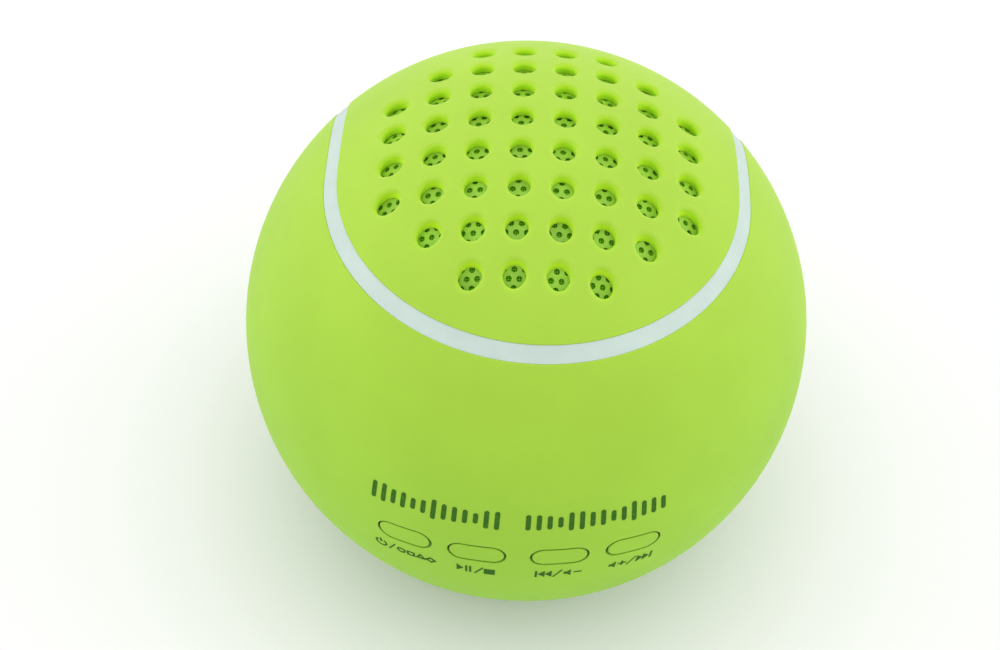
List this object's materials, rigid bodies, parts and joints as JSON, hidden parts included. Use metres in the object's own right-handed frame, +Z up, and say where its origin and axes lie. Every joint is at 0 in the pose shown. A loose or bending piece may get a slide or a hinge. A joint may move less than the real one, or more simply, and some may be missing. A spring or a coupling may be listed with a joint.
{
  "type": "portable ball speaker",
  "caption": "Ball-shaped rechargeable speaker in a lime rubber skin with an inlaid white seam, a hole grille on top, flush front keys and a rear port flap.",
  "frame": {"origin": "centre of the rubber foot's underside, on the surface the ball stands on", "axes": "+Z up through the grille, -Y towards the keys, +X to the right seen from the keys"},
  "size_m": [0.08, 0.08, 0.076],
  "materials": {
    "base_plastic": "fine grain",
    "basket_steel": "semi gloss",
    "cell_foil": "laminated foil",
    "chip_black": "moulded",
    "cloth_weave": "woven",
    "coil_copper": "enamelled wire",
    "cone_paper": "pressed paper",
    "core_plastic": "fine grain",
    "ferrite": "sintered",
    "flex_amber": "film",
    "foam": "closed cell",
    "green_board": "solder mask",
    "grille_metal": "satin",
    "key_rubber": "matte soft touch",
    "lime_rubber": "matte soft touch",
    "screw_steel": "plated",
    "seal_rubber": "matte",
    "seam_rubber": "matte",
    "shield_can": "tinned",
    "socket_metal": "nickel",
    "socket_plastic": "moulded",
    "spider_cloth": "impregnated cloth",
    "stem_plastic": "moulded",
    "strip_board": "laminate",
    "wire_red": "insulation",
    "zinc_steel": "zinc"
  },
  "bodies": {
    "housing": {"amplifier_chip": "chip_black", "audio_jack": "socket_plastic", "base_foot": "seal_rubber", "base_plate": "base_plastic", "base_screws": "screw_steel", "battery": "cell_foil", "battery_pad": "foam", "battery_wires": "wire_red", "board_ribbon": "flex_amber", "capacitors": "chip_black", "card_socket": "socket_metal", "core_gasket": "seal_rubber", "core_screws": "screw_steel", "driver_frame": "basket_steel", "driver_gasket": "seal_rubber", "driver_magnet": "ferrite", "driver_screws": "screw_steel", "driver_terminals": "strip_board", "driver_top_plate": "zinc_steel", "driver_wires": "wire_red", "driver_yoke": "zinc_steel", "dust_cloth": "cloth_weave", "key_board": "green_board", "key_board_screws": "screw_steel", "key_switches": "socket_plastic", "lower_core": "core_plastic", "main_board": "green_board", "main_board_screws": "screw_steel", "perforated_grille": "grille_metal", "port_cover_pin": "screw_steel", "port_tub": "socket_plastic", "radio_module": "shield_can", "seam_inlay": "seam_rubber", "silicone_skin": "lime_rubber", "upper_core": "core_plastic", "usb_socket": "socket_metal"},
    "mode_button": {"mode_key": "key_rubber", "mode_switch_stem": "stem_plastic"},
    "play_button": {"play_key": "key_rubber", "play_switch_stem": "stem_plastic"},
    "previous_button": {"previous_key": "key_rubber", "previous_switch_stem": "stem_plastic"},
    "next_button": {"next_key": "key_rubber", "next_switch_stem": "stem_plastic"},
    "cone": {"voice_coil": "coil_copper", "driver_cone": "cone_paper", "dust_cap": "cone_paper", "cone_surround": "seal_rubber", "spider": "spider_cloth"},
    "port_flap": {"port_cover": "lime_rubber"}
  },
  "joints": [
    {"name": "mode_press", "type": "slide", "parent": "housing", "child": "mode_button", "axis": [0, 1, 0], "range_m": [0, 0.00045], "stiffness_N_per_m": 1500, "springref_m": -0.0003},
    {"name": "play_press", "type": "slide", "parent": "housing", "child": "play_button", "axis": [0, 1, 0], "range_m": [0, 0.00045], "stiffness_N_per_m": 1500, "springref_m": -0.0003},
    {"name": "previous_press", "type": "slide", "parent": "housing", "child": "previous_button", "axis": [0, 1, 0], "range_m": [0, 0.00045], "stiffness_N_per_m": 1500, "springref_m": -0.0003},
    {"name": "next_press", "type": "slide", "parent": "housing", "child": "next_button", "axis": [0, 1, 0], "range_m": [0, 0.00045], "stiffness_N_per_m": 1500, "springref_m": -0.0003},
    {"name": "cone_stroke", "type": "slide", "parent": "housing", "child": "cone", "axis": [0, 0, 1], "range_m": [-0.0008, 0.0008], "stiffness_N_per_m": 1500, "deforming": ["cone_surround", "spider"]},
    {"name": "flap_hinge", "type": "hinge", "parent": "housing", "child": "port_flap", "pos_m": [0, 0.0374, 0.028], "axis": [-1, 0, 0], "range_deg": [0, 90]}
  ]
}
